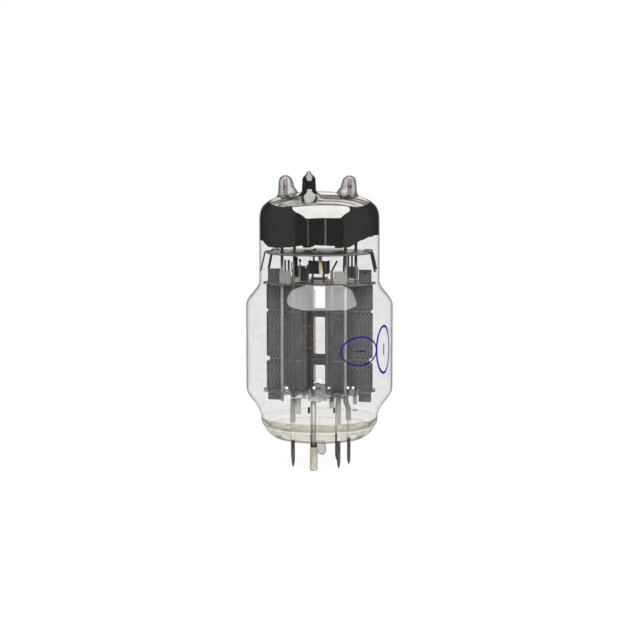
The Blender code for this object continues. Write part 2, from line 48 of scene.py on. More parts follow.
# Heights in millimetres start this far above the thick pin's tip, which stands on the floor.
LIFT = 1.2
VIEW_AZIMUTH = math.radians(11.0)
FRONT_ANGLE = VIEW_AZIMUTH - math.pi / 2.0
FRONT = (math.sin(VIEW_AZIMUTH), -math.cos(VIEW_AZIMUTH), 0.0)
RIGHT = (math.cos(VIEW_AZIMUTH), math.sin(VIEW_AZIMUTH), 0.0)
UP = (0.0, 0.0, 1.0)
WHITE = (1.0, 1.0, 1.0, 1.0)
SIDES = ((-1, "left"), (1, "right"))
CORNERS = [(sx, sy, depth + "_" + side) for sx, side in SIDES for sy, depth in ((-1, "front"), (1, "rear"))]
NO_RADIUS = 1e-9


# ---- node trees


class Tree:
    """Builds a node tree with short calls; a value may be a number, a colour or another output."""

    def __init__(self, owner):
        owner.use_nodes = True
        self.owner, self.tree = owner, owner.node_tree
        self.tree.nodes.clear()

    def node(self, kind, inputs=None, **settings):
        made = self.tree.nodes.new("ShaderNode" + kind)
        for key, value in settings.items():
            setattr(made, key, value)
        for key, value in (inputs or {}).items():
            socket = made.inputs[key]
            if isinstance(value, bpy.types.NodeSocket):
                self.tree.links.new(value, socket)
            else:
                socket.default_value = value
        return made

    def times(self, first, second):
        return self.math("MULTIPLY", first, second)

    def out(self, kind, inputs, **settings):
        return self.node(kind, inputs, **settings).outputs[0]

    def math(self, operation, *values):
        return self.out("Math", dict(enumerate(values)), operation=operation)

    def dot(self, way, axis):
        return self.node("VectorMath", {0: way, 1: axis}, operation="DOT_PRODUCT").outputs["Value"]

    def mix(self, factor, first, second):
        return self.node("Mix", {0: factor, 6: rgba(first), 7: rgba(second)}, data_type="RGBA").outputs[2]

    def band(self, value, low, high, to_low=0.0, to_high=1.0):
        levels = {0: value, 1: low, 2: high, 3: to_low, 4: to_high}
        return self.out("MapRange", levels, clamp=True)

    def scaled(self, size):
        """Object coordinates divided by a feature size in millimetres, one or three numbers."""
        sizes = (size,) * 3 if isinstance(size, (int, float)) else size
        coords = self.node("TexCoord").outputs["Object"]
        scale = tuple(1.0 / (s * MM) for s in sizes)
        return self.out("Mapping", {"Vector": coords, "Scale": scale})

    def height(self):
        """Millimetres above the floor, which lies LIFT below height zero of the parts."""
        return self.node("SeparateXYZ", {0: self.scaled(1.0)}).outputs["Z"]

    def noise(self, size, detail=3.0):
        return self.out("TexNoise", {"Vector": self.scaled(size), "Scale": 1.0, "Detail": detail,
                                      "Roughness": 0.55})

    def patches(self, size, detail, low=0.3, high=0.7):
        """Noise stretched so that low gives zero and high gives one."""
        return self.band(self.noise(size, detail), low, high)

    def bump(self, height, distance):
        return self.out("Bump", {"Height": height, "Distance": distance * MM, "Strength": 1.0})

    def clear(self, colour=WHITE):
        return self.out("BsdfTransparent", {"Color": rgba(colour)})

    def solid(self, colour, roughness, normal, metallic=0.0, specular=0.5, edge=WHITE):
        return self.out("BsdfPrincipled", {
            "Base Color": rgba(colour), "Roughness": roughness, "Normal": normal, "Metallic": metallic,
            "Specular IOR Level": specular, "Specular Tint": rgba(edge)})

    def blend(self, share, first, second):
        return self.out("MixShader", {0: share, 1: first, 2: second})

    def finish(self, shader):
        self.node("OutputMaterial", {"Surface": shader}).is_active_output = True
        return self.owner

    def finish_worn(self, colour, patches, rough_low, rough_high, grain, relief, **more):
        """Ends with a surface whose roughness follows the patches, over a fine grain."""
        roughness = self.band(patches, 0.0, 1.0, rough_low, rough_high)
        return self.finish(self.solid(colour, roughness, self.bump(self.noise(grain), relief), **more))


def rgba(colour):
    """Colour for a socket: another output, one number for a grey, or three or four numbers."""
    if isinstance(colour, bpy.types.NodeSocket):
        return colour
    if isinstance(colour, float):
        colour = (colour,) * 3
    return (*colour, 1.0) if len(colour) == 3 else colour


def material_tree(name):
    return Tree(bpy.data.materials.new(name))


def metal(name, dark, light, rough, blotch=2.5):
    """Worn metal: blotched colour, streaked roughness and a fine uneven surface."""
    t = material_tree(name)
    lines = t.noise((0.25, 0.25, 6.0))
    colour = t.mix(t.patches(blotch, 4.0), dark, light)
    colour = t.mix(t.band(lines, 0.25, 0.75, 0.0, 0.35), colour, dark)
    roughness = t.band(lines, 0.2, 0.8, rough * 0.75, rough * 1.3)
    normal = t.bump(t.math("ADD", lines, t.noise(0.18, 2.0)), 0.006)
    return t.finish(t.solid(colour, roughness, normal, metallic=1.0))


def plain_solid(name, dark, light, rough):
    """Dull non-metal with a mottled colour and a grainy surface."""
    t = material_tree(name)
    grain = t.noise(0.15)
    colour = t.mix(t.patches(1.2, 5.0), dark, light)
    return t.finish(t.solid(colour, t.band(grain, 0.3, 0.7, rough, rough + 0.15), t.bump(grain, 0.02)))


def thin_glass(name, centre, edge, edge_power, rim_share=0.6, rim_power=14.0, cloud=0.03,
               cloud_size=(9.0, 9.0, 3.0), pale_rear=0.0, clear_above=None, glossy_above=True,
               sheen=0.047, soft_below=None):
    """Clear glass wall: see-through face on, mirror-like and tinted where it turns away.

    The far half pales by pale_rear; the tint clears above one height and its edge softens below another.
    """
    t = material_tree(name)
    facing = t.node("LayerWeight", {"Blend": 0.5}).outputs["Facing"]
    share = t.math("MULTIPLY_ADD", t.math("POWER", facing, rim_power), rim_share, sheen)
    clouded = tuple((1.0 - cloud) * c + cloud * e for c, e in zip(centre, edge))
    if soft_below is not None:
        lower = t.band(t.height(), soft_below + LIFT, soft_below + LIFT - 8.0)
        edge = t.mix(lower, edge, (0.78, 0.78, 0.775))
    tint = t.mix(t.patches(cloud_size, 3.0, 0.35, 0.65), centre, clouded)
    tint = t.mix(t.math("POWER", facing, edge_power), tint, edge)
    if pale_rear:
        toward = t.dot(t.scaled(1.0), FRONT)
        tint = t.mix(t.band(toward, 4.0, -6.0, 0.0, pale_rear), tint, (0.99, 0.99, 0.985))
    if clear_above is not None:
        lower = t.band(t.height(), clear_above + LIFT, clear_above + LIFT + 0.5, 1.0, 0.0)
        tint = t.mix(lower, (0.985, 0.985, 0.98), tint)
        share = share if glossy_above else t.times(share, lower)
    gloss = t.out("BsdfAnisotropic", {"Color": WHITE, "Roughness": 0.012})
    return t.finish(t.blend(share, t.clear(tint), gloss))


def getter_material(name, dark, light, brown):
    """Evaporated mirror seen through the wall: dark, glossy, slightly brown in patches."""
    t = material_tree(name)
    specks = t.patches((0.5, 0.5, 1.4), 3.0, 0.60, 0.75)
    colour = t.mix(t.patches(6.0, 5.0, 0.35, 0.65), dark, light)
    colour = t.mix(t.times(specks, 0.4), colour, brown)
    roughness = t.band(t.noise(1.5, 4.0), 0.3, 0.7, 0.02, 0.06)
    normal = t.bump(t.noise((5.0, 5.0, 9.0), 2.0), 0.02)
    return t.finish(t.solid(colour, roughness, normal, metallic=1.0, edge=0.25))


def anode_material():
    """Carbon-blackened nickel sheet: painted shade in the knurl pits, painted highlight on the knurl ridges,
    ears below the lower mica paled as painted light from the floor.
    """
    t = material_tree("blackened_knurled_sheet")
    patches = t.patches(3.5, 5.0)
    relief = t.node("Attribute", attribute_name="relief").outputs["Fac"]
    # Noise that sets how strongly the knurl ridges get their painted highlight.
    rubbed = t.band(t.noise(1.1, 4.0), 0.25, 0.7, 0.35, 1.0)
    colour = t.mix(patches, (0.062, 0.063, 0.065), (0.102, 0.103, 0.105))
    # Painted shade darkens the knurl pits; the ridges then get a painted highlight, stronger in the noise
    # patches.
    colour = t.mix(t.band(relief, 0.05, 0.5, 1.0, 0.0), colour, (0.014, 0.014, 0.015))
    colour = t.mix(t.times(t.band(relief, 0.45, 0.95), rubbed), colour, (0.175, 0.178, 0.182))
    # Painted light: the ears below the lower mica are paled as if lit by the floor below.
    colour = t.mix(t.band(t.height(), 32.0 + LIFT, 31.4 + LIFT, 0.0, 0.75), colour, 0.22)
    return t.finish_worn(colour, patches, 0.5, 0.65, 0.2, 0.02, metallic=0.1, specular=0.25)


def black_material():
    """Carbonised small parts, matt with grey rubbed spots."""
    t = material_tree("carbonised_part")
    rubbed = t.patches(0.5, 4.0, 0.5, 0.75)
    colour = t.mix(t.times(rubbed, 0.6), (0.036, 0.036, 0.037), 0.13)
    return t.finish_worn(colour, rubbed, 0.6, 0.45, 0.2, 0.02, metallic=0.2)


def pin_material():
    """Lead wire: clean pale nickel inside the glass, oxidised dark outside."""
    t = material_tree("oxidised_pin_wire")
    patches = t.patches((0.5, 0.5, 2.0), 4.0)
    outside = t.band(t.math("ADD", t.height(), t.noise(1.0, 2.0)), 11.9 + LIFT, 11.2 + LIFT)
    clean = t.mix(patches, (0.78, 0.78, 0.76), (0.93, 0.93, 0.91))
    dark = t.mix(patches, (0.045, 0.045, 0.044), (0.15, 0.15, 0.145))
    return t.finish_worn(t.mix(outside, clean, dark), patches, 0.35, 0.5, 0.25, 0.015,
                         metallic=t.times(outside, 0.4))


def satin_material(name, low, high, dark_above=None, gloss=0.5, metallic=0.25):
    """Satin nickel-plated rod: soft grey, smoked dark above a height near the getter."""
    t = material_tree(name)
    patches = t.patches((0.8, 0.8, 3.0), 4.0)
    colour = t.mix(patches, low, high)
    if dark_above is not None:
        start = dark_above + LIFT
        smoke = t.band(t.math("ADD", t.height(), t.noise(1.5, 2.0)), start, start + 2.5, 0.0, 0.9)
        colour = t.mix(smoke, colour, 0.03)
    return t.finish_worn(colour, patches, 0.3, 0.45, 0.2, 0.01, metallic=metallic, specular=gloss)


def mica_material():
    """Natural mica: mostly clear flakes with grey cloudy layers."""
    t = material_tree("cloudy_mica")
    clouds = t.patches((5.0, 8.0, 2.0), 5.0, 0.35, 0.65)
    colour = t.mix(clouds, (0.07, 0.068, 0.065), (0.20, 0.195, 0.19))
    solid = t.solid(colour, 0.55, t.bump(t.noise(0.8, 4.0), 0.02), specular=0.2)
    return t.finish(t.blend(t.band(clouds, 0.0, 1.0, 0.4, 0.75), t.clear((0.93, 0.92, 0.90)), solid))


def ink_material(name, filter_colour, body, cover):
    """Stamped ink that filters the light behind it, uneven and worn through in specks."""
    t = material_tree(name)
    covered = t.times(t.patches(0.45, 4.0, 0.30, 0.42), cover)
    dense = t.band(t.patches(0.9, 3.0), 0.0, 1.0, 0.25, 0.5)
    solid = t.solid(body, 0.45, t.bump(t.noise(0.3, 2.0), 0.02))
    return t.finish(t.blend(covered, t.clear(), t.blend(dense, t.clear(filter_colour), solid)))


# ---- mesh code


def placed(name, data):
    made = bpy.data.objects.new(name, data)
    bpy.context.scene.collection.objects.link(made)
    return made


def piece(name, mesh, material, nodes=(), angle=60.0, bevel=0.0, relief=None):
    """Object from (points in millimetres, faces), riding on the tube and standing for CAD nodes."""
    points, faces = mesh
    data = bpy.data.meshes.new(name)
    data.from_pydata([(x * MM, y * MM, (z + LIFT) * MM) for x, y, z in points], [], faces)
    if relief:
        data.attributes.new("relief", "FLOAT", "POINT").data.foreach_set("value", relief)
    data.validate()
    data.materials.append(material)
    data.shade_smooth()
    data.set_sharp_from_angle(angle=math.radians(angle))
    made = placed(name, data)
    if bevel:
        round_edges(made, bevel)
    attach(made, "root")
    if nodes:
        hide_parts(*nodes)
    return made


def round_edges(item, width):
    modifier = item.modifiers.new("rounded", "BEVEL")
    modifier.width = width * MM
    modifier.segments = 2
    modifier.limit_method = "ANGLE"
    modifier.angle_limit = math.radians(40.0)


def joined(meshes):
    points, faces = [], []
    for more, sides in meshes:
        faces.extend(tuple(i + len(points) for i in face) for face in sides)
        points.extend(more)
    return points, faces


def chaikin(points, rounds=2, closed=False):
    """Corner-cutting smoothing; an open line keeps its end points."""
    for _ in range(rounds):
        cut = []
        for a, b in zip(points, points[1:] + (points[:1] if closed else [])):
            cut += [tuple(s * u + (1.0 - s) * v for u, v in zip(a, b)) for s in (0.75, 0.25)]
        points = cut if closed else points[:1] + cut + points[-1:]
    return points


def ring_at(points, centre, radius, z, sides, reach=None):
    """Adds a ring of points, or one point where there is no radius, and returns their numbers."""
    first = len(points)
    if radius < NO_RADIUS:
        points.append((centre[0], centre[1], z))
    else:
        for k in range(sides):
            angle = math.tau * k / sides
            r, h = reach(angle, radius, z) if reach else (radius, z)
            points.append((centre[0] + r * math.cos(angle), centre[1] + r * math.sin(angle), h))
    return list(range(first, len(points)))


def stitched(pairs):
    """Faces between pairs of rings of point numbers; a ring may be a single point."""
    faces = []
    for low, high in pairs:
        sides = max(len(low), len(high))
        for k in range(sides if sides > 1 else 0):
            m = (k + 1) % sides
            if len(low) == 1:
                faces.append((low[0], high[m], high[k]))
            elif len(high) == 1:
                faces.append((low[k], low[m], high[0]))
            else:
                faces.append((low[k], low[m], high[m], high[k]))
    return faces


def capped(rings):
    return stitched(zip(rings, rings[1:])) + [tuple(reversed(rings[0])), tuple(rings[-1])]


def lathe(profile, sides, centre=(0.0, 0.0), reach=None):
    """Closed solid turned from (radius, z); reach(angle, radius, z) may change a point's radius and z."""
    points = []
    rings = [ring_at(points, centre, radius, z, sides, reach) for radius, z in profile]
    return points, stitched(zip(rings, rings[1:] + rings[:1]))


def shifted(profile, distance):
    """Profile moved to its left, so inwards for an outside that runs up."""
    result = []
    for i, here in enumerate(profile):
        here = Vector(here)
        before = (here - Vector(profile[i - 1])).normalized() if i else None
        after = (Vector(profile[i + 1]) - here).normalized() if i < len(profile) - 1 else None
        ways = [d for d in (before, after) if d is not None]
        normals = [Vector((-d.y, d.x)) for d in ways]
        mitre = sum(normals, Vector((0.0, 0.0))).normalized()
        moved = here + mitre * (distance / max(0.5, mitre.dot(normals[0])))
        result.append((max(0.0, moved.x), moved.y))
    return result


def sweep(path, section, side):
    """Solid swept along a path; section lists (side, up) offsets, or is a function of the point's index."""
    line = [Vector(p) for p in path]
    side = Vector(side)
    points, rings = [], []
    last = None
    for i, here in enumerate(line):
        before = (here - line[i - 1]).normalized() if i else (line[1] - here).normalized()
        after = (line[i + 1] - here).normalized() if i < len(line) - 1 else before
        tangent = (before + after).normalized()
        if last is not None:
            side = last.rotation_difference(tangent) @ side
        side = (side - tangent * side.dot(tangent)).normalized()
        up = tangent.cross(side)
        first = len(points)
        for a, b in section(i) if callable(section) else section:
            points.append(tuple(here + side * a + up * b))
        rings.append(range(first, len(points)))
        last = tangent
    return points, capped(rings)


def disc(radius, sides):
    return [(radius * math.cos(math.tau * k / sides), radius * math.sin(math.tau * k / sides))
            for k in range(sides)]


def wire(path, radius, sides=14):
    """Round wire with softly rounded ends."""
    tip = 0.35
    line = [Vector(p) for p in path]
    start = (line[1] - line[0]).normalized()
    end = (line[-1] - line[-2]).normalized()
    inset = tip * radius
    full = [line[0], line[0] + start * inset * tip, line[0] + start * inset] + line[1:-1]
    full += [line[-1] - end * inset, line[-1] - end * inset * tip, line[-1]]
    last = len(full) - 1
    ends = {0: 1.0 - 0.8 * tip, 1: 1.0 - 0.3 * tip}
    helper = Vector((1.0, 0.0, 0.0)) if abs(start.x) < 0.9 else Vector((0.0, 1.0, 0.0))
    return sweep(full, lambda i: disc(radius * ends.get(min(i, last - i), 1.0), sides), start.cross(helper))


def ribbon(path, width, thickness, side):
    half, thin = width / 2.0, thickness / 2.0
    return sweep(path, [(-half, -thin), (half, -thin), (half, thin), (-half, thin)], side)


def inside(point, polygon):
    result = False
    x, y = point
    for (x0, y0), (x1, y1) in zip(polygon, polygon[1:] + polygon[:1]):
        if (y0 > y) != (y1 > y) and x < x0 + (y - y0) * (x1 - x0) / (y1 - y0):
            result = not result
    return result


def triangulate(outline, holes=(), lines=(), extra=()):
    points, edges = [], []
    for loop in [outline] + list(holes):
        first = len(points)
        points.extend(Vector(p) for p in loop)
        edges.extend((first + k, first + (k + 1) % len(loop)) for k in range(len(loop)))
    for start, end in lines:
        edges.append((len(points), len(points) + 1))
        points.extend((Vector(start), Vector(end)))
    points.extend(Vector(p) for p in extra)
    found, _, faces, *_ = delaunay_2d_cdt(points, edges, [], 0, 1e-5)
    kept = []
    for face in faces:
        centre = sum((found[k] for k in face), Vector((0.0, 0.0))) / len(face)
        if inside(centre, outline) and not any(inside(centre, hole) for hole in holes):
            a, b, c = (found[k] for k in face)
            turn = (b.x - a.x) * (c.y - a.y) - (b.y - a.y) * (c.x - a.x)
            kept.append(tuple(face) if turn > 0 else tuple(reversed(face)))
    used = sorted({k for face in kept for k in face})
    order = {k: i for i, k in enumerate(used)}
    return [tuple(found[k]) for k in used], [tuple(order[k] for k in face) for face in kept]


def thicken(flat, faces, place):
    """Closed solid from a flat net; place(point, layer) puts a point of layer 0 or 1 in space."""
    count = len(flat)
    points = [place(p, 0) for p in flat] + [place(p, 1) for p in flat]
    solid = [tuple(reversed(face)) for face in faces]
    solid += [tuple(k + count for k in face) for face in faces]
    edges = {(a, b) for face in faces for a, b in zip(face, face[1:] + face[:1])}
    for a, b in sorted(edges):
        if (b, a) not in edges:
            solid.append((a, b, b + count, a + count))
    return points, solid


def plate(outline, holes, low, high, extra=()):
    flat, faces = triangulate(outline, holes, extra=extra)
    return thicken(flat, faces, lambda p, layer: (p[0], p[1], high if layer else low))


def turned(u, w):
    """Point from distances across and toward the viewer's side, on axes turned with the view."""
    return u * RIGHT[0] + w * FRONT[0], u * RIGHT[1] + w * FRONT[1]


def smoothstep(value, low, high):
    x = min(1.0, max(0.0, (value - low) / (high - low)))
    return x * x * (3.0 - 2.0 * x)


def box_mm(node):
    low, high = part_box(node)
    lift = Vector((0.0, 0.0, LIFT))
    return low / MM - lift, high / MM - lift


def middle_mm(node):
    low, high = box_mm(node)
    return (low + high) / 2.0


# ---- glass envelope

bulb_low, bulb_high = box_mm("glass_bulb")
BULB_RADIUS = bulb_high.x - 0.03
SEAL = bulb_low.z
TIP_TOP = bulb_high.z
CROWN = 117.1
NECK = 25.7
SHOULDER = (68.4, 79.5)
SHOULDER_BEND = 1.15


def shoulder_curve(steps=36):
    """Smooth fall from the wide body to the neck, steepest at half height."""
    bottom, top = SHOULDER
    slopes = [math.sin(math.pi * (k + 0.5) / steps) ** SHOULDER_BEND for k in range(steps)]
    total = sum(slopes)
    result, gone = [], 0.0
    for k in range(steps + 1):
        z = bottom + (top - bottom) * k / steps
        result.append((BULB_RADIUS - (BULB_RADIUS - NECK) * gone / total, z))
        gone += slopes[k] if k < steps else 0.0
    return result


LOWER_OUTSIDE = chaikin([
    (25.05, SEAL), (25.1, 20.4), (25.2, 21.6), (25.8, 23.2), (26.6, 24.9), (27.6, 26.4),
    (29.0, 28.2), (30.4, 30.1), (31.2, 31.6), (BULB_RADIUS, 33.2), (BULB_RADIUS, 36.0),
    (BULB_RADIUS, 64.0)], 2)
UPPER_OUTSIDE = chaikin([
    (NECK, 84.0), (NECK, 102.5), (NECK, 105.6), (25.4, 108.6), (24.6, 110.4), (23.2, 112.1),
    (20.6, 113.8), (17.2, 115.1), (12.4, 116.2), (6.4, 116.9), (0.0, CROWN)], 3)
OUTSIDE = LOWER_OUTSIDE + shoulder_curve() + UPPER_OUTSIDE
GLASS_SKIN = 0.25
FILM_DEPTH = 0.34
FILM_SKIN = 0.12
FILM_CURVE_FROM = 99.5


def dome_height(radius):
    for (r0, z0), (r1, z1) in zip(OUTSIDE[-2::-1], OUTSIDE[::-1]):
        low, high = sorted((r0, r1))
        if low <= radius <= high and high > low:
            return z0 + (z1 - z0) * (radius - r0) / (r1 - r0)
    return CROWN


def bell(centre, rings, flare=0.0, sides=40):
    """Glass nipple on the dome: rings are (radius, share of dome height, z); the foot follows the dome.

    With a flare the side that faces the tube's axis leans out towards the foot.
    """
    inward = math.atan2(-centre[1], -centre[0])
    points, loops = [], []
    for radius, follow, z in rings:
        def reach(angle, radius, z, follow=follow):
            lean = max(0.0, math.cos(angle - inward)) ** 2
            r = radius * (1.0 + flare * lean * follow)
            if follow >= 1.0:
                z += dome_height(math.hypot(centre[0] + r * math.cos(angle), centre[1] + r * math.sin(angle)))
            return r, z

        loops.append(ring_at(points, centre, radius, z, sides, reach))
    return points, [tuple(reversed(loops[0]))] + stitched(zip(loops, loops[1:]))


FILM_EDGE = [(-180, 96.5), (-120, 97.4), (-85, 96.6), (-71, 96.3), (-63, 95.2), (-57, 94.2), (-46, 94.1),
             (-34, 94.4), (-26, 94.7), (-18, 95.2), (0, 95.5), (14, 95.3), (24, 94.6), (29.5, 94.7),
             (34, 95.5), (37.5, 96.3), (44, 97.2), (56, 98.4), (71, 98.9), (110, 98.0), (180, 96.5)]


def film_edge(angle):
    """Height of the mirror's lower edge at an angle round the bulb."""
    turn = (math.degrees(angle - FRONT_ANGLE) + 180.0) % 360.0 - 180.0
    z = FILM_EDGE[0][1]
    for (t0, z0), (t1, z1) in zip(FILM_EDGE, FILM_EDGE[1:]):
        if t0 <= turn <= t1:
            z = z0 + (z1 - z0) * smoothstep(turn, t0, t1)
    ripple = noise.noise(Vector((3.0 * math.cos(angle), 3.0 * math.sin(angle), 1.7)))
    fine = noise.noise(Vector((11.0 * math.cos(angle), 11.0 * math.sin(angle), 5.2)))
    return z + 0.2 * ripple + 0.2 * fine


def build_glass(glass, lug_glass, base_glass, seal_glass, film, tip_film):
    inner = shifted(OUTSIDE, GLASS_SKIN)
    inner[0] = (inner[0][0], SEAL)
    piece("bulb_glass", lathe(OUTSIDE + inner[::-1], 120), glass, ["glass_bulb"])

    lug_rings = [(4.3, 1.0, -0.22), (3.9, 1.0, 0.15), (3.4, 1.0, 0.8), (3.15, 1.0, 1.7), (3.05, 0.75, 118.4),
                 (3.0, 0.5, 119.6), (2.92, 0.3, 120.9), (2.7, 0.15, 122.1), (2.25, 0.05, 123.0),
                 (1.5, 0.0, 123.6), (0.75, 0.0, 123.88), (0.0, 0.0, 123.95)]
    for _, word in SIDES:
        rod = middle_mm("cap_rod_" + word)
        piece("top_lug_" + word, bell(rod[:2], lug_rings, 0.45), lug_glass, angle=75.0)

    tip = middle_mm("exhaust_tip_film")[:2]
    foot = [(6.9, -0.12), (6.0, 0.12), (5.1, 0.5), (4.3, 0.95), (3.7, 1.45), (3.3, 2.0), (3.12, 2.6)]
    shaft = [(3.08, 119.3), (3.02, 120.4), (2.96, 121.6), (2.93, 122.6), (2.78, 123.3), (2.35, 123.95),
             (1.75, 124.55), (1.3, 125.15), (0.95, 125.75), (0.6, 126.25), (0.0, TIP_TOP)]
    rings = [(r, 1.0, z) for r, z in foot] + [(r, 0.0, z) for r, z in shaft]
    piece("exhaust_tip_glass", bell(tip, rings), glass, angle=75.0)
    rings = [(r - 0.2, 1.0, z - 0.1) for r, z in foot] + [(r - 0.2, 0.0, z - 0.05) for r, z in shaft[:5]]
    rings += [(r, 0.0, z) for r, z in ((2.1, 123.8), (1.5, 124.35), (1.05, 124.95), (0.72, 125.5),
                                       (0.4, 126.0), (0.0, 126.25))]
    piece("exhaust_tip_mirror", bell(tip, rings), tip_film, ["exhaust_tip_film"], 75.0)

    outer = [p for p in shifted(OUTSIDE, FILM_DEPTH) if p[1] > FILM_CURVE_FROM]
    inner = [p for p in shifted(OUTSIDE, FILM_DEPTH + FILM_SKIN) if p[1] > FILM_CURVE_FROM]
    wall, edge = outer[0][0], 90.0
    profile = [(wall, edge)] + outer + inner[::-1] + [(wall - FILM_SKIN, edge)]

    def ragged(angle, radius, z):
        return radius, film_edge(angle) if z == edge else z

    piece("getter_mirror_film", lathe(profile, 240, reach=ragged), film, ["getter_film"])

    underside = 11.0
    bowl = [(0.0, underside), (4.0, underside), (15.6, underside), (17.2, 11.12), (19.2, 11.65), (21.0, 12.8),
            (22.5, 14.3), (23.7, 16.0), (24.6, 17.7), (25.05, SEAL - 0.1), (24.8, SEAL - 0.1),
            (24.3, 18.3), (23.2, 17.3), (21.4, 16.75), (18.5, 16.5), (6.0, 16.5), (0.0, 16.5)]
    bowl = [bowl[0]] + chaikin(bowl[1:-1], 2) + [bowl[-1]]
    piece("moulded_glass_base", lathe(bowl, 120), base_glass, ["glass_base"], 50.0)
    ring = chaikin([(25.1, 20.8), (24.7, 19.7), (23.9, 18.5), (22.4, 17.4), (20.9, 16.8), (22.4, 16.5),
                    (24.0, 16.9), (24.9, 18.0)], 2, closed=True)
    piece("seal_ring", lathe(ring, 120), seal_glass, angle=70.0)
    foot = chaikin([(16.4, 11.15), (17.6, 11.2), (19.0, 11.75), (19.3, 12.4), (18.0, 12.2), (16.6, 11.8)],
                   2, closed=True)
    piece("base_foot_ring", lathe(foot, 120), seal_glass, angle=70.0)


def build_nub(glass):
    """Sealed stub under the base, leaning to the viewer's right towards its tip."""
    top = 10.95
    rings = [(0.0, 3.3), (0.9, 3.5), (1.7, 4.3), (2.2, 5.7), (2.3, 7.5), (2.3, 9.1), (2.4, 10.3), (2.6, top)]
    points, faces = lathe(chaikin(rings, 2) + [(0.0, top)], 40)
    moved = []
    for x, y, z in points:
        push = 1.1 * (1.0 - smoothstep(z, 3.0, 11.0))
        moved.append((x + RIGHT[0] * push, y + RIGHT[1] * push, z))
    piece("exhaust_seal_nub", (moved, faces), glass)


# ---- anode

ANODE_TOP, ANODE_BOTTOM = 77.4, 32.5
EAR_TOP, EAR_BOTTOM = 83.9, 27.1
KNURL = 1.65
KNURL_START, KNURL_SPAN = 27.4, 56.0
BEADS = (45.2, 66.0)
BEAD_PITCH = 0.9
FOLD_CLEAR, ON_FOLD = 0.1, 1e-4
SLOT = 2.8
HALF_WIDTH = 23.1
BOX_DEPTH = 8.6


def fold(section, run, s):
    """Point and outward normal on a folded section at a distance along it."""
    k = 0
    while k < len(run) - 2 and s > run[k + 1] + ON_FOLD:
        k += 1
    a, b = Vector(section[k]), Vector(section[k + 1])
    way = (b - a).normalized()
    normal = Vector((way.y, -way.x))
    if k < len(run) - 2 and abs(s - run[k + 1]) < ON_FOLD:
        after = (Vector(section[k + 2]) - b).normalized()
        mitre = (normal + Vector((after.y, -after.x))).normalized()
        normal = mitre * (1.0 / mitre.dot(normal))
    return a + way * (s - run[k]), normal


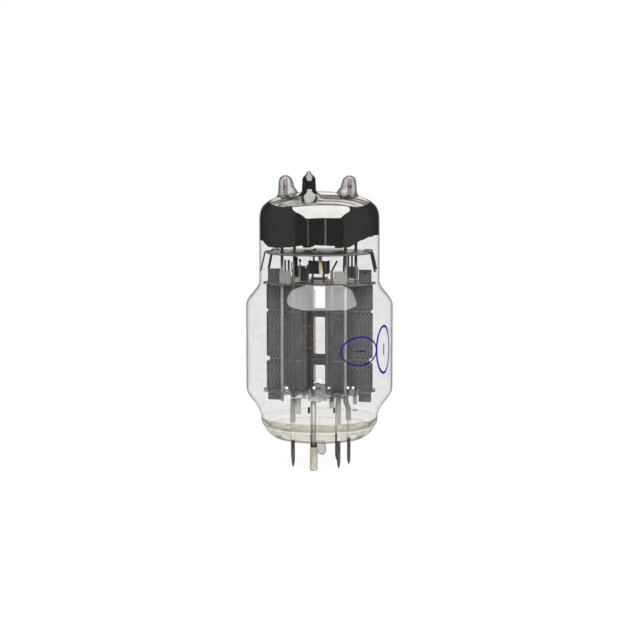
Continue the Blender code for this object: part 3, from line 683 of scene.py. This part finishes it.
def anode_shell(front):
    """Pressed anode half with its knurl, stiffening beads, ears, slots and edge notches."""
    half = [(3.7, -1.5), (4.35, -BOX_DEPTH + 1.1), (4.75, -BOX_DEPTH + 0.3), (5.5, -BOX_DEPTH),
            (11.9, -BOX_DEPTH), (12.6, -BOX_DEPTH + 0.3), (13.0, -BOX_DEPTH + 1.1), (13.9, -0.4),
            (HALF_WIDTH, -0.4)]
    section = [(-x, y) for x, y in reversed(half)] + half
    if not front:
        section = [(-x, -y) for x, y in section]
    run = [0.0]
    for a, b in zip(section, section[1:]):
        run.append(run[-1] + (Vector(b) - Vector(a)).length)
    length = run[-1] / 2.0
    run = [s - length for s in run]

    def along(x):
        return length - (HALF_WIDTH - x)

    end, ear_in, ear_out = along(HALF_WIDTH), along(17.2), along(22.5)
    right = [(SLOT - 0.5, 42.8), (SLOT - 0.15, 42.65), (SLOT, 42.3), (SLOT, ANODE_BOTTOM),
             (along(14.15), ANODE_BOTTOM), (along(14.3), 33.3), (along(14.9), 33.7),
             (along(15.5), 33.3), (along(15.65), ANODE_BOTTOM), (ear_in, ANODE_BOTTOM),
             (ear_in, EAR_BOTTOM), (ear_out, EAR_BOTTOM), (ear_out, ANODE_BOTTOM), (end, ANODE_BOTTOM),
             (end, 43.9), (end - 1.4, 44.4), (end - 1.5, 45.1), (end - 1.4, 45.8), (end, 46.3),
             (end, 65.2), (end - 0.7, 65.5), (end - 0.7, 66.5), (end, 66.8), (end, ANODE_TOP),
             (ear_out, ANODE_TOP), (ear_out, EAR_TOP), (ear_in, EAR_TOP), (ear_in, ANODE_TOP),
             (SLOT, ANODE_TOP), (SLOT, 67.4), (SLOT - 0.15, 67.1), (SLOT - 0.4, 67.0)]
    outline = right + [(-s, z) for s, z in reversed(right)]
    window = chaikin([(-SLOT, 47.2), (SLOT, 47.2), (SLOT, 47.8), (SLOT, 62.7), (SLOT - 0.1, 63.4),
                      (SLOT - 0.8, 63.5), (-SLOT + 0.8, 63.5), (-SLOT + 0.1, 63.4), (-SLOT, 62.7),
                      (-SLOT, 47.8)], 1, closed=True)
    lines = [((s, 20.0), (s, 90.0)) for s in run[1:-1]]
    heights, extra = {}, []

    def clear_of_folds(s):
        return min(abs(s - r) for r in run) >= FOLD_CLEAR

    def allowed(s, z):
        near_bead = min(abs(z - b) for b in BEADS) < 0.75
        in_sheet = inside((s, z), outline) and not inside((s, z), window)
        return clear_of_folds(s) and not near_bead and in_sheet

    def key(s, z):
        return round(s, 2), round(z, 2)

    def strength(s, z):
        if abs(s) > along(13.6):
            return 1.0
        return 0.25 + 0.4 * smoothstep(z, 47.0, 60.0)

    step = KNURL / 2.0

    def spot_at(i, j):
        return (i + 0.5) * step, KNURL_START + j * step

    ridge = set()
    for j in range(int(KNURL_SPAN / step)):
        for i in range(-int(length / step) - 1, int(length / step) + 2):
            s, z = spot_at(i, j)
            if allowed(s, z):
                even = (i + j) % 2 == 0
                heights[key(s, z)] = strength(s, z) if even else -strength(s, z)
                extra.append((s, z))
                if even:
                    ridge.add((i, j))
    for i, j in sorted(ridge):
        for di in (-1, 1):
            if (i + di, j + 1) in ridge:
                a, b = spot_at(i, j), spot_at(i + di, j + 1)
                if not any(min(a[0], b[0]) < r < max(a[0], b[0]) for r in run):
                    lines.append((a, b))
    for bead in BEADS:
        for i in range(int(2.0 * length / BEAD_PITCH)):
            s = -length + 0.45 + i * BEAD_PITCH
            for shift, height in ((-0.5, 0.0), (0.0, 1.6), (0.5, 0.0)):
                z = bead + shift
                if clear_of_folds(s) and inside((s, z), outline):
                    heights[key(s, z)] = height
                    extra.append((s, z))
    flat, faces = triangulate(outline, [window], lines, extra)

    def place(point, layer):
        spot, normal = fold(section, run, point[0])
        reach = 0.2 + 0.07 * heights.get(key(*point), 0.0) if layer else -0.17
        spot = spot + normal * reach
        return spot.x, spot.y, point[1]

    relief = [min(1.0, 0.5 + 0.5 * heights.get(key(*point), 0.0)) for point in flat]
    return thicken(flat, faces, place), relief * 2


def build_anode(black):
    for front, word in ((True, "front"), (False, "rear")):
        mesh, relief = anode_shell(front)
        piece("knurled_anode_" + word, mesh, black, ["anode_%s_shell" % word], 8.0,
              relief=relief)


# ---- mica, shield and springs

SUPPORT = (13.6, 12.8)
TIE = (8.2, 15.0)


def ring_hole(x, y, radius):
    return [(x + a, y + b) for a, b in disc(radius, 20)]


def block(x0, x1, y0, y1):
    return [(x0, y0), (x1, y0), (x1, y1), (x0, y1)]


def mica_sheet(node):
    low, high = box_mm(node)
    quarter = [(24.3, 0.5), (24.0, 0.95), (23.4, 1.5), (23.4, 6.0), (22.9, 6.9), (17.6, 13.4),
               (16.9, 14.3), (14.4, 16.2), (13.6, 16.6)]
    outline = quarter + [(-x, y) for x, y in reversed(quarter)]
    outline += [(-x, -y) for x, y in quarter] + [(x, -y) for x, y in reversed(quarter)]
    holes = []
    for sx in (-1, 1):
        for sy in (-1, 1):
            holes += [ring_hole(sx * SUPPORT[0], sy * SUPPORT[1], 0.82),
                      ring_hole(sx * TIE[0], sy * TIE[1], 0.77)]
        holes += [block(*sorted((sx * 16.9, sx * 22.8)), -0.95, 0.95),
                  block(sx * 8.4 - 3.45, sx * 8.4 + 3.45, -1.7, 1.7),
                  ring_hole(sx * 3.25, 0.0, 0.6), ring_hole(sx * 12.4, 0.0, 0.6)]
    return plate(outline, holes, low.z, high.z)


def build_mica(mica):
    for node in ("lower_mica", "upper_mica"):
        piece(node + "_spacer", mica_sheet(node), mica, [node], 40.0, 0.08)


SPRING_TURN = {"front_left": 18.0, "rear_left": 18.0, "front_right": 10.0, "rear_right": 24.0}


def build_shield(shield, spring):
    low, high = box_mm("heat_shield_disc")
    radius = high.x
    holes = [ring_hole(0.0, 0.0, 1.1)]
    for sx, sy, _ in CORNERS:
        holes.append(ring_hole(sx * SUPPORT[0], sy * SUPPORT[1], 0.85))
        holes.append(ring_hole(sx * 7.5, sy * 9.0, 1.0))
    extra = disc(radius - 0.5, 96) + disc(radius - 1.1, 96)
    piece("heat_shield", plate(disc(radius, 96), holes, low.z, high.z, extra), shield,
          ["heat_shield_disc"], 40.0, 0.07)
    hoop = chaikin([(radius - 0.55, high.z + 0.02), (radius - 0.05, high.z + 0.02), (radius, low.z),
                    (radius - 0.1, low.z - 0.25), (radius - 0.5, low.z - 0.2)], 1, closed=True)
    piece("heat_shield_rim", lathe(hoop, 96), spring)
    knob = chaikin([(0.0, high.z), (0.85, high.z), (0.9, high.z + 0.3), (0.5, high.z + 0.6),
                    (0.0, high.z + 0.65)], 1)
    piece("heat_shield_rivet", lathe(knob, 24, turned(-1.95, -11.0)), spring)
    lift = Vector(UP)
    for sx, sy, corner in CORNERS:
        angle = math.radians(SPRING_TURN[corner])
        way = Vector((sx * math.cos(angle), sy * math.sin(angle), 0.0))
        path = [way * 20.0 + lift * (high.z + 0.5), way * 22.6 + lift * (high.z + 0.5),
                way * 23.3 + lift * (high.z + 0.2), way * 23.55 + lift * (high.z - 0.8),
                way * 24.95 + lift * 84.4, way * 25.1 + lift * 83.7, way * 25.0 + lift * 83.4]
        piece("spring_leg_" + corner, ribbon(chaikin(path, 2), 1.25, 0.5, (-way.y, way.x, 0.0)), spring,
              ["bulb_spring_" + corner], 40.0)


# ---- wires, rods and plates


def repaint(names, material, bevel=0.0):
    """Keeps a CAD node's own shape and gives it a full material, with its edges softened."""
    for name in names:
        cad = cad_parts[name]
        cad.data.materials.clear()
        cad.data.materials.append(material)
        if bevel:
            round_edges(cad, bevel)


def upright(node, radius, material):
    """Finer copy of a straight upright rod."""
    low, high = box_mm(node)
    x, y, _ = middle_mm(node)
    mesh = wire([(x, y, low.z), (x, y, high.z)], radius, 20)
    piece(node + "_wire", mesh, material, [node])


def build_rods(bright, grey, copper, moly, tab):
    for _, side in SIDES:
        for corner in ("front_" + side, "rear_" + side):
            upright("support_rod_" + corner, 0.64, bright)
            upright("tie_post_" + corner, 0.6, grey)
            repaint(["tie_plate_" + corner], tab, 0.12)
        for place in ("inner", "outer"):
            upright("grid_post_%s_%s" % (side, place), 0.42, copper)
        upright("cap_rod_" + side, 0.95, moly)


def build_pins(nickel, lead, dark_pin, pin_metal):
    centre = middle_mm("thick_pin")[:2]
    sleeve = [(1.1, -LIFT), (1.4, -1.12), (1.58, -0.85), (1.64, -0.5), (1.65, 0.5), (1.65, 8.2), (1.6, 8.7),
              (1.42, 8.95), (1.0, 9.0), (0.98, 9.0)]
    sleeve = [(0.0, -LIFT)] + chaikin(sleeve, 1) + [(0.0, 9.0)]
    piece("thick_pin_sleeve", lathe(sleeve, 40, centre), nickel, ["thick_pin"], 50.0)
    core = [(0.0, 9.05), (1.0, 9.05), (1.0, 28.0), (0.8, 28.2), (0.0, 28.2)]
    piece("thick_pin_core", lathe(core, 32, centre), lead, angle=50.0)
    weld = [(0.0, 9.02), (1.45, 9.02), (1.5, 9.3), (1.3, 10.4), (1.05, 10.9), (0.0, 10.9)]
    piece("thick_pin_weld", lathe(weld, 32, centre), dark_pin, angle=50.0)
    wide = 0.76
    profile = chaikin([(0.0, -0.6), (0.22, -0.6), (0.34, -0.35), (0.58, 0.7), (wide, 2.1), (wide, 6.0),
                       (wide, 11.0), (wide, 21.4), (wide * 0.8, 21.75), (0.0, 21.8)], 2)
    for k in range(1, 7):
        node = "thin_pin_%d" % k
        piece("pin_wire_%d" % k, lathe(profile, 24, middle_mm(node)[:2]), pin_metal,
              [node], 50.0)


# ---- ink marks

INK_LOW, INK_HIGH = 0.002, 0.022
WIDE_MARK = (32.8, 51.6)
TALL_MARK = (59.5, 51.2)


def on_wall(turn, arc, z, height):
    """Point over the straight bulb wall; turn in degrees from the view's middle, arc in millimetres."""
    radius = BULB_RADIUS + height
    angle = FRONT_ANGLE + math.radians(turn) + arc / BULB_RADIUS
    return radius * math.cos(angle), radius * math.sin(angle), z


def wall_line(turn, z, path, width):
    """Raised ink line along (arc, height) points on the wall."""
    line = [Vector(p) for p in path]
    points, rings = [], []
    closed = (line[0] - line[-1]).length < 1e-6
    if closed:
        line = line[:-1]
    around = [line[-1], *line, line[0]] if closed else [line[0], *line, line[-1]]
    for i, here in enumerate(line):
        way = (around[i + 2] - around[i]).normalized()
        across = Vector((-way.y, way.x)) * width / 2.0
        rings.append(range(len(points), len(points) + 4))
        for offset, height in ((-1, INK_LOW), (1, INK_LOW), (1, INK_HIGH), (-1, INK_HIGH)):
            spot = here + across * offset
            points.append(on_wall(turn, spot.x, z + spot.y, height))
    return points, stitched(zip(rings, rings[1:] + rings[:1])) if closed else capped(rings)


def oval(half_width, half_height):
    path = [(half_width * x, half_height * y) for x, y in disc(1.0, 72)]
    return path + path[:1]


def flag(name, u0, u1, z0, z1, w, thickness, material):
    """Small upright plate facing the viewer's side."""
    (x0, y0), (x1, y1) = turned(u0, w), turned(u1, w)
    path = [((x0 + x1) / 2.0, (y0 + y1) / 2.0, z) for z in (z0, (z0 + z1) / 2.0, z1)]
    piece(name, ribbon(path, u1 - u0, thickness, (x1 - x0, y1 - y0, 0.0)), material, angle=40.0, bevel=0.08)


def rod_at(name, line, radius, material):
    """Bent wire through (across, toward, height) points."""
    piece(name, wire([(*turned(u, w), z) for u, w, z in line], radius), material)


def build_cage_details(black, satin, bead, dark, copper):
    flag("cathode_lug_left_a", -14.95, -14.2, 83.0, 88.2, 3.0, 0.5, black)
    flag("cathode_lug_left_b", -13.55, -12.65, 82.0, 88.0, 2.0, 0.5, black)
    flag("cathode_lug_left_c", -12.0, -11.5, 83.0, 87.2, 2.5, 0.4, black)
    flag("cathode_lug_right_a", 11.9, 12.75, 81.6, 90.0, 3.0, 0.4, black)
    flag("cathode_lug_right_b", 13.5, 14.3, 80.6, 90.1, 1.5, 0.5, black)
    flag("radiator_stem", -2.8, -2.0, 86.6, 89.5, 3.2, 0.5, black)
    flag("radiator_leg_left", -3.25, -2.4, 78.4, 82.4, 3.2, 0.5, black)
    flag("radiator_leg_right", 1.3, 2.3, 78.4, 82.4, 3.2, 0.5, black)
    flag("radiator_foot", -3.4, 3.0, 79.6, 80.7, 3.6, 0.5, black)
    flag("cathode_link_left", -8.6, -8.1, 79.0, 88.0, 4.0, 0.4, satin)
    for k, z in enumerate((84.2, 86.6), 1):
        rod_at("link_sleeve_%d" % k, [(-8.35, -4.0, z + rise) for rise in (0.0, 0.7, 1.4)], 0.55, dark)
    rod_at("insulated_wire_rear", [(-10.1, -9.4, 78.6), (-10.1, -9.6, 83.0), (-9.9, -9.6, 88.6)], 0.55, dark)
    rod_at("insulated_wire_right", [(10.6, -9.0, 78.6), (10.7, -9.2, 84.0), (10.9, -9.2, 90.6)], 0.55, dark)
    for k, (u0, u1, z) in enumerate(((-2.2, 0.1, 35.5), (-1.5, 0.7, 33.4)), 1):
        line = [(u0, 9.0, z), ((u0 + u1) / 2, 9.2, z + 0.3), (u1, 9.0, z + 0.1)]
        rod_at("grid_hook_%d" % k, line, 0.28, dark)
    rod_at("slot_edge_wire", [(-1.95, 0.0, 35.2), (-1.95, 0.0, 55.0), (-1.95, 0.0, 75.0)], 0.24, copper)
    # Painted highlights: small white balls just above the lower mica stand in for bright glints seen there.
    for k, u in enumerate((-13.73, -2.32, 4.01, 12.04, 14.16), 1):
        ball = chaikin([(0.0, 34.1), (0.5, 34.15), (0.62, 34.65), (0.5, 35.15), (0.0, 35.2)], 2)
        piece("painted_glint_ball_%d" % k, lathe(ball, 16, turned(u, 15.0)), bead, angle=70.0)
    for name, u0, u1, z in (("upper_left", -24.0, -22.6, 78.1), ("upper_right", 22.8, 24.0, 78.1),
                            ("lower_left", -24.2, -22.4, 31.8), ("lower_right", 22.6, 24.2, 31.8)):
        line = [(u0, 0.0, z), ((u0 + u1) / 2, 0.0, z + 0.05), (u1, 0.0, z)]
        piece("mica_tip_clip_" + name, wire(line, 0.3), dark)
    rod_at("bus_wire_front", [(-12.0, 13.6, 30.2), (0.0, 14.4, 30.4), (12.4, 13.6, 30.2)], 0.35, satin)
    flag("weld_tab_left", -10.0, -7.9, 22.8, 29.6, 10.5, 0.4, satin)
    flag("weld_tab_centre", 4.2, 6.4, 25.6, 30.4, 12.5, 0.4, satin)
    flag("weld_tab_right", 14.3, 16.0, 26.6, 30.8, 8.0, 0.4, satin)
    rod_at("weld_knob_right", [(14.2, 6.0, 23.9), (15.2, 6.2, 23.9), (16.2, 6.4, 24.0)], 0.5, satin)
    flag("weld_mark_left", -5.0, -4.0, 22.2, 24.8, 4.0, 0.3, dark)
    flag("weld_mark_right", 5.9, 6.7, 22.2, 24.8, 4.0, 0.3, dark)


def build_ink(purple, pale):
    """Two plain stamps and a few worn dashes."""
    wide = wall_line(*WIDE_MARK, oval(9.0, 5.9), 0.7)
    bar = wall_line(*WIDE_MARK, [(-2.6, 0.0), (0.0, 0.0), (2.6, 0.0)], 0.6)
    piece("inspection_mark_wide", joined([wide, bar]), purple)
    tall = wall_line(*TALL_MARK, oval(5.4, 9.9), 1.1)
    tick = wall_line(*TALL_MARK, [(0.0, -2.4), (0.0, 0.0), (0.0, 2.4)], 0.8)
    piece("inspection_mark_tall", joined([tall, tick]), purple)
    dashes = []
    for start, z, count in ((-8.6, 62.6, 4), (-8.0, 59.7, 2), (-3.6, 57.0, 1), (-4.6, 53.6, 2)):
        for i in range(count):
            left = start + 1.9 * i
            path = [(left, 0.0), (left + 0.6, 0.0), (left + 1.2, 0.0)]
            dashes.append(wall_line(0.0, z, path, 0.7))
    piece("faded_type_dashes", joined(dashes), pale)


# ---- studio

LAMP_AZIMUTH, LAMP_ELEVATION = math.radians(18.5), math.radians(43.6)
LAMP_DISTANCE, LAMP_WIDTH = 1.1, 2.24
LAMP_BOTTOM, LAMP_TOP = -0.755, 1.58
LAMP_WAIST = 0.8
LAMP_RADIANCE = 3.4
LAMP_AIM = Vector((0.0, 0.0, 0.08))


def build_softbox():
    """One soft rectangular lamp on a tilted plane, narrowed to its waist at the bottom.

    The azimuth is measured from straight ahead of the tube; bottom and top are metres up the plane.
    """
    a, e = LAMP_AZIMUTH, LAMP_ELEVATION
    way = Vector((math.sin(a) * math.cos(e), -math.cos(a) * math.cos(e), math.sin(e)))
    rise = Vector((-math.sin(a) * math.sin(e), math.cos(a) * math.sin(e), math.cos(e)))
    data = bpy.data.lights.new("front_softbox", "AREA")
    data.shape = "RECTANGLE"
    data.size, data.size_y = LAMP_WIDTH, LAMP_TOP - LAMP_BOTTOM
    data.energy = LAMP_RADIANCE * math.pi * LAMP_WIDTH * (LAMP_TOP - LAMP_BOTTOM)
    t = Tree(data)
    spot = t.node("SeparateXYZ", {0: t.node("NewGeometry").outputs["Parametric"]}).outputs
    widening = t.math("MULTIPLY_ADD", spot["Y"], 1.1 * (1.0 - LAMP_WAIST), 0.5 * LAMP_WAIST)
    across = t.math("ABSOLUTE", t.math("SUBTRACT", spot["X"], 0.5))
    beyond = t.math("SUBTRACT", across, t.math("MINIMUM", widening, 0.5))
    glow = t.out("Emission", {"Color": WHITE, "Strength": t.band(beyond, -0.01, 0.0, 1.0, 0.0)})
    t.node("OutputLight", {"Surface": glow})
    lamp = placed("front_softbox", data)
    lamp.location = LAMP_AIM + way * LAMP_DISTANCE + rise * (LAMP_BOTTOM + LAMP_TOP) / 2.0
    lamp.rotation_euler = way.to_track_quat("Z", "Y").to_euler()
    lamp.visible_camera = False


def build_world():
    """White backdrop; mirror reflections see a dark room with two light gaps and a pale ceiling."""
    world = bpy.data.worlds.new("studio")
    bpy.context.scene.world = world
    t = Tree(world)
    path = t.node("LightPath").outputs
    way = t.node("TexCoord").outputs["Generated"]
    front, right, up = t.dot(way, FRONT), t.dot(way, RIGHT), t.dot(way, UP)
    azimuth = t.math("ARCTAN2", right, front)

    def stripe(angle, centre, half, spread, level, ground):
        """One level round a middle angle in degrees, another beyond it."""
        away = t.math("ABSOLUTE", t.math("SUBTRACT", angle, math.radians(centre)))
        return t.band(away, math.radians(half * 0.6), math.radians(half * spread), level, ground)

    room = t.band(t.math("ABSOLUTE", azimuth), math.radians(46.0), math.radians(49.0), 0.085, 0.15)
    for centre, half, level in ((-21.6, 1.6, 0.24), (11.4, 2.0, 0.38)):
        room = t.math("ADD", room, stripe(azimuth, centre, half, 1.2, level, 0.0))
    tilted = t.math("SUBTRACT", t.times(up, 0.174), t.times(front, 0.985))
    sideways = t.math("SUBTRACT", t.math("ABSOLUTE", right), t.times(up, 0.9))
    ceiling = t.times(t.band(tilted, 0.40, 0.43), t.band(up, 0.10, 0.16))
    ceiling = t.times(ceiling, t.band(sideways, -0.06, 0.0, 1.0, 0.0))
    flow = t.out("Mapping", {"Vector": way, "Scale": (1.3, 1.3, 7.0)})
    wisps = t.out("TexNoise", {"Vector": flow, "Scale": 1.6, "Detail": 3.0})
    pale = t.band(wisps, 0.34, 0.62, 1.4, 5.2)
    pitch = t.math("ADD", t.math("ARCTAN2", up, front), t.times(wisps, 0.25))
    for centre, half in ((112.0, 2.5), (122.0, 2.0), (134.0, 3.0), (150.0, 2.5), (163.0, 4.0)):
        pale = t.times(pale, stripe(pitch, centre, half, 1.1, 0.1, 1.0))

    def tinted(level, green, blue):
        parts = {0: level, 1: t.times(level, green), 2: t.times(level, blue)}
        return t.out("CombineColor", parts)

    mirrored = t.mix(ceiling, tinted(room, 1.0, 1.0), tinted(pale, 0.965, 0.91))
    is_mirrored = t.times(path["Is Glossy Ray"], path["Is Reflection Ray"])
    seen = t.math("MAXIMUM", path["Is Camera Ray"], path["Is Transmission Ray"])
    level = t.mix(seen, 0.62, WHITE)
    background = t.out("Background", {"Color": t.mix(is_mirrored, level, mirrored), "Strength": 1.0})
    t.node("OutputWorld", {"Surface": background})


def build_floor():
    """Pale disc under the tube that fades out into the backdrop."""
    t = material_tree("pale_floor")
    coords = t.node("TexCoord").outputs["Object"]
    distance = t.node("VectorMath", {0: coords}, operation="LENGTH").outputs["Value"]
    grain = t.mix(t.noise(40.0), 0.045, 0.05)
    lit = t.out("BsdfDiffuse", {"Color": grain})
    surface = t.out("AddShader", {0: lit, 1: t.out("Emission", {"Color": WHITE, "Strength": 0.945})})
    data = bpy.data.meshes.new("studio_floor")
    sides, below = 64, -0.0002
    data.from_pydata([(x, y, below) for x, y in disc(0.36, sides)], [], [tuple(range(sides))])
    data.materials.append(t.finish(t.blend(t.band(distance, 0.16, 0.34), surface, t.clear())))
    floor = placed("studio_floor", data)
    floor.visible_glossy = False


CAMERA_DISTANCE = 0.77
CAMERA_HEIGHT, AIM_HEIGHT = 0.14, 0.062


def build_camera():
    data = bpy.data.cameras.new("camera")
    data.sensor_width = 36.0
    data.lens = 101.4
    data.shift_x = 0.0009
    data.clip_start, data.clip_end = 0.05, 20.0
    camera = placed("camera", data)
    place = Vector(FRONT) * CAMERA_DISTANCE + Vector(UP) * (CAMERA_HEIGHT + LIFT * MM)
    camera.location = place
    aim = Vector(UP) * (AIM_HEIGHT + LIFT * MM)
    camera.rotation_euler = (aim - place).to_track_quat("-Z", "Y").to_euler()
    bpy.context.scene.camera = camera


# ---- the tube

glass = thin_glass("clear_bulb_glass", (0.988, 0.989, 0.988), (0.13, 0.135, 0.13), 12.0, soft_below=34.0)
lug_glass = thin_glass("solid_lug_glass", (0.95, 0.94, 0.93), (0.0, 0.0, 0.0), 1.2, 0.25, 14.0, 0.35,
                       (1.2, 1.2, 4.0))
nub_glass = thin_glass("solid_nub_glass", (0.76, 0.765, 0.77), (0.42, 0.42, 0.43), 1.6, clear_above=9.2,
                       glossy_above=False)
base_glass = thin_glass("moulded_base_glass", (0.81, 0.80, 0.775), (0.46, 0.447, 0.415), 22.0, 0.4, 10.0, 0.4,
                        (5.0, 5.0, 1.1), clear_above=16.1, sheen=0.014)
seal_glass = thin_glass("seal_ring_glass", (0.89, 0.877, 0.845), (0.36, 0.34, 0.28), 6.5, 0.4, 10.0, 0.3,
                        (4.0, 4.0, 0.8), 0.85, sheen=0.014)
pin_metal = pin_material()
film = getter_material("getter_mirror_film", (0.185, 0.183, 0.175), (0.215, 0.213, 0.205),
                       (0.27, 0.265, 0.24))
tip_film = getter_material("exhaust_tip_mirror", 0.10, 0.14, (0.18, 0.18, 0.17))
anode_black = anode_material()
black = black_material()
mica = mica_material()
satin = satin_material("satin_nickel_rod", 0.25, (0.41, 0.41, 0.405), 85.0)
grey = satin_material("dull_nickel_post", (0.07, 0.07, 0.068), (0.13, 0.13, 0.125), 85.0)
lead_nickel = satin_material("lead_nickel", (0.34, 0.34, 0.335), (0.60, 0.60, 0.59))
core_nickel = satin_material("thick_pin_core_nickel", (0.34, 0.34, 0.335), (0.52, 0.52, 0.51))
bright = metal("bright_nickel_strip", (0.62, 0.62, 0.61), (0.86, 0.86, 0.85), 0.34)
tab = satin_material("matt_nickel_tab", (0.26, 0.255, 0.245), (0.37, 0.365, 0.35))
shield_metal = satin_material("shield_nickel", (0.16, 0.17, 0.175), (0.27, 0.282, 0.288), gloss=0.1,
                              metallic=0.0)
spring_metal = metal("spring_steel", 0.04, 0.10, 0.45)
copper = metal("copper_wire", (0.36, 0.15, 0.10), (0.52, 0.26, 0.19), 0.4)
moly = satin_material("molybdenum_wire", (0.09, 0.052, 0.048), (0.24, 0.17, 0.155))
dark_pin = metal("oxidised_pin", 0.06, (0.22, 0.22, 0.21), 0.4, 1.2)
sleeve_nickel = satin_material("worn_pin_sleeve", (0.30, 0.26, 0.21), (0.58, 0.54, 0.475))
yellow = metal("yellow_ribbon_metal", (0.80, 0.66, 0.36), (0.95, 0.85, 0.62), 0.35)
oxide = plain_solid("oxide_coating", (0.80, 0.79, 0.76), (0.92, 0.91, 0.89), 0.8)
ceramic = plain_solid("alumina_coating", (0.86, 0.85, 0.83), (0.96, 0.95, 0.93), 0.7)
purple = ink_material("purple_stamp_ink", (0.065, 0.018, 0.58), (0.028, 0.009, 0.27), 0.95)
pale_ink = ink_material("pale_yellow_ink", (0.8, 0.8, 0.5), (0.16, 0.17, 0.06), 0.5)

build_glass(glass, lug_glass, base_glass, seal_glass, film, tip_film)
build_nub(nub_glass)
build_anode(anode_black)
build_mica(mica)
build_shield(shield_metal, spring_metal)
build_rods(satin, grey, copper, moly, tab)
build_pins(sleeve_nickel, core_nickel, dark_pin, pin_metal)
build_cage_details(black, lead_nickel, ceramic, spring_metal, copper)
build_ink(purple, pale_ink)
repaint(["grid_radiator", "cathode_tab_left"], black, 0.1)
repaint(["getter_lead_strip"], yellow, 0.08)
repaint(["heater_link_wire"], spring_metal)
repaint(["cathode_sleeve_left", "cathode_sleeve_right"], oxide, 0.06)
repaint(["heater_left", "heater_right"], ceramic)
repaint(["grid_winding_left", "grid_winding_right"], copper)
repaint(["cap_strap_left", "cap_strap_right"], bright, 0.1)
repaint(["heater_bus_plate"], lead_nickel, 0.1)
repaint(["getter_tray_left", "getter_tray_right"], grey, 0.15)
repaint(["lead_ribbon_%d" % k for k in range(1, 7)], lead_nickel, 0.08)

build_world()
build_floor()
build_softbox()
build_camera()
bpy.context.scene.view_settings.view_transform = "Standard"
